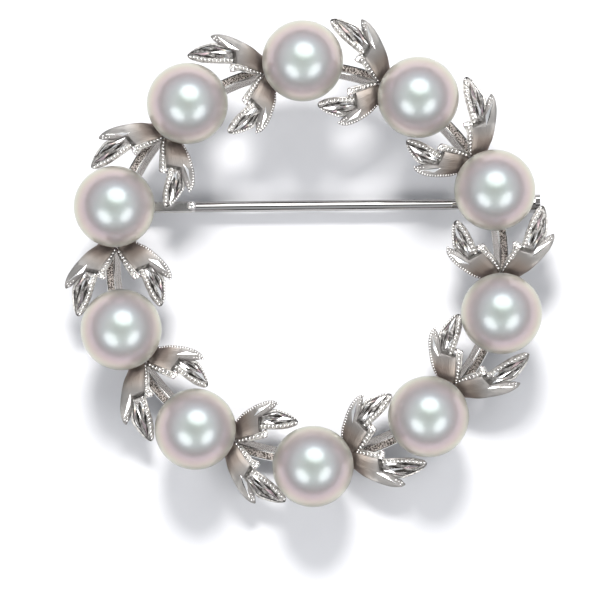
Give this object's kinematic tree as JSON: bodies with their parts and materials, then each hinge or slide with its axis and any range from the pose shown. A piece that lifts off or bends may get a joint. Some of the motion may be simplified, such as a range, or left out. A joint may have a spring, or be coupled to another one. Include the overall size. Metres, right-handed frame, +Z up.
{
  "type": "pearl brooch",
  "caption": "Round wreath brooch with white pearls on a slim silver ring, lobed leaves between them and a hinged pin with a safety catch.",
  "frame": {"origin": "centre of the brooch's footprint, on the surface that it lies on face up", "axes": "+Z up from the surface, +Y towards the top of the brooch as worn, +X to the right seen from the front"},
  "size_m": [0.0452, 0.0452, 0.0126],
  "materials": {
    "silver": "satin with bright cuts",
    "bright_silver": "polished",
    "pearl": "lustrous nacre"
  },
  "bodies": {
    "wreath": {"wreath_frame": "silver", "hinge_rivet": "bright_silver", "pearl_01": "pearl", "pearl_02": "pearl", "pearl_03": "pearl", "pearl_04": "pearl", "pearl_05": "pearl", "pearl_06": "pearl", "pearl_07": "pearl", "pearl_08": "pearl", "pearl_09": "pearl", "pearl_10": "pearl"},
    "pin": {"pin_stem": "bright_silver"},
    "catch_rotor": {"catch_rotor": "bright_silver"}
  },
  "joints": [
    {"name": "pin_hinge", "type": "hinge", "parent": "wreath", "child": "pin", "pos_m": [-0.0174, 0.0055, 0.00119], "axis": [-0.0103, 0.9953, 0.0964], "range_deg": [0, 90]},
    {"name": "catch_turn", "type": "hinge", "parent": "wreath", "child": "catch_rotor", "pos_m": [0.0164, 0.00585, 0.00122], "axis": [0.9999, 0.0102, 0.001], "range_deg": [0, 130]}
  ]
}
